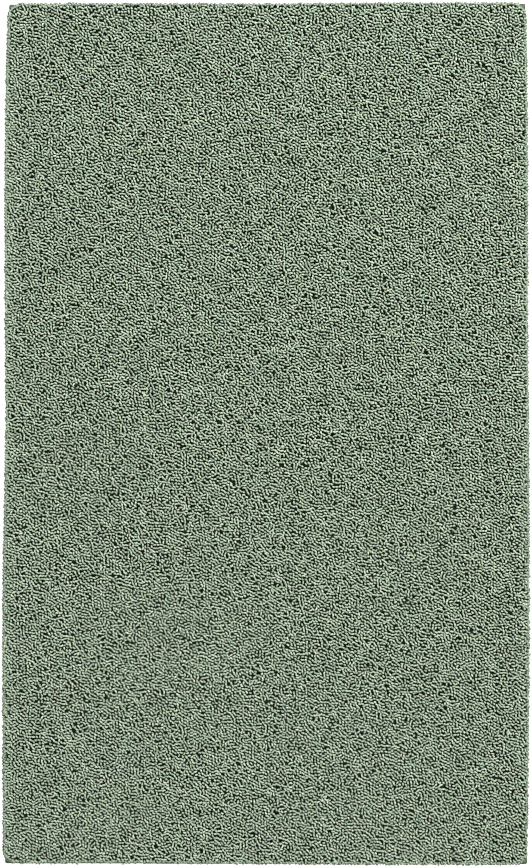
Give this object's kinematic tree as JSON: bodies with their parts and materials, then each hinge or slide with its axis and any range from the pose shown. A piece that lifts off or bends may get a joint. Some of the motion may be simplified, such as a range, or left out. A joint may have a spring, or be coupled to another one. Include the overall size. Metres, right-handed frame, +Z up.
{
  "type": "bath mat",
  "caption": "Rectangular tufted bath mat: dense curly loop pile on a hemmed cotton base, with a non-slip coat on the underside.",
  "frame": {"origin": "centre of the mat's footprint, on the plane it rests on", "axes": "+Y along the length towards the back edge, +X to the right, +Z up out of the pile"},
  "size_m": [0.6132, 1.0038, 0.015],
  "materials": {
    "pile_yarn": "matt twisted cotton yarn in sage green, in short curly loops",
    "base_cloth": "plain-woven cotton canvas, dyed a darker green than the pile",
    "hem_cloth": "plain-woven cotton canvas, folded under, dyed a darker green than the pile",
    "hem_thread": "twisted polyester sewing thread in green",
    "latex": "matt off-white sprayed latex with the rows of yarn showing through as ribs",
    "label_satin": "white woven satin, blank"
  },
  "bodies": {
    "root": {"pile": "pile_yarn", "base_cloth": "base_cloth", "latex_backing": "latex", "hem_front": "hem_cloth", "hem_right": "hem_cloth", "hem_back": "hem_cloth", "hem_left": "hem_cloth", "hem_stitching_front": "hem_thread", "hem_stitching_right": "hem_thread", "hem_stitching_back": "hem_thread", "hem_stitching_left": "hem_thread", "care_label": "label_satin"}
  },
  "joints": []
}
